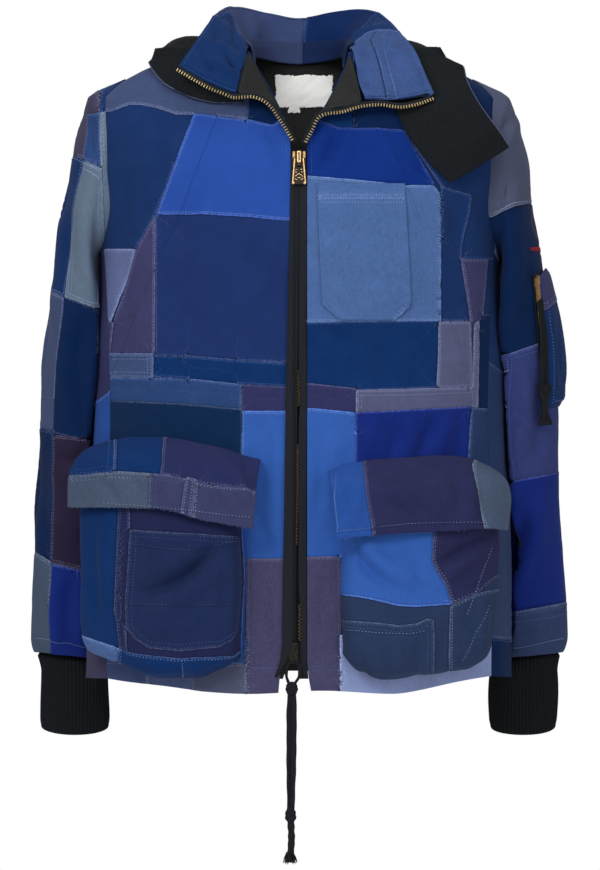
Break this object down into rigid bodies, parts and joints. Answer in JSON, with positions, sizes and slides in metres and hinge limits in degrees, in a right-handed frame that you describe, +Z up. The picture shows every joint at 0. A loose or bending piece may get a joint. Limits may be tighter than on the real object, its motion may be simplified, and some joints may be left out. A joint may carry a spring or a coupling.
{
  "type": "patched boro jacket",
  "caption": "Worn hollow patched work jacket with stand collar, ribbed band and cuffs, flapped cargo pockets and a two-way front zip.",
  "frame": {"origin": "between the wearer's shoulders, level with the armholes' tops", "axes": "+Z up, -Y the front, +X the wearer's left"},
  "size_m": [0.5392, 0.3016, 0.8601],
  "materials": {
    "blue_cloth": "washed cotton twill",
    "navy_cloth": "washed cotton twill",
    "slate_cloth": "washed cotton twill",
    "denim_cloth": "faded denim",
    "black_cloth": "plain lining",
    "black_rib": "rib knit",
    "white_label": "plain woven cotton",
    "black_tape": "woven tape",
    "brass": "aged"
  },
  "bodies": {
    "jacket": {"front_right": "blue_cloth", "front_left": "blue_cloth", "side_right": "slate_cloth", "side_left": "slate_cloth", "back": "navy_cloth", "sleeve_right": "navy_cloth", "sleeve_left": "navy_cloth", "collar": "denim_cloth", "cuff_right": "black_rib", "cuff_left": "black_rib", "rib_band": "black_rib", "facing_right": "black_cloth", "facing_left": "black_cloth", "back_lining": "black_cloth", "neck_label": "white_label", "size_tab": "white_label", "cargo_pocket_right": "navy_cloth", "cargo_pocket_left": "navy_cloth", "cargo_flap_right": "slate_cloth", "cargo_flap_left": "slate_cloth", "chest_pocket": "denim_cloth", "sleeve_pocket": "slate_cloth", "zip_right": "black_tape", "zip_left": "black_tape", "zip_edge_right": "black_tape", "zip_edge_left": "black_tape", "zip_slider": "brass", "lower_slider": "brass", "ribbon_loop": "black_tape", "ribbon_knot_upper": "black_tape", "ribbon_strand_right": "black_tape", "ribbon_strand_left": "black_tape", "ribbon_knot_lower": "black_tape", "ribbon_tail": "black_tape", "sleeve_zip_tape": "black_tape", "sleeve_zip_slider": "brass", "sleeve_pull_tab": "brass", "sleeve_ribbon": "black_tape"},
    "pull_tab": {"zip_pull_tab": "brass"}
  },
  "joints": [
    {"name": "pull_tab_hinge", "type": "hinge", "parent": "jacket", "child": "pull_tab", "pos_m": [0, -0.1175, -0.08402], "axis": [-1, 0, 0], "range_deg": [0, 150]}
  ]
}
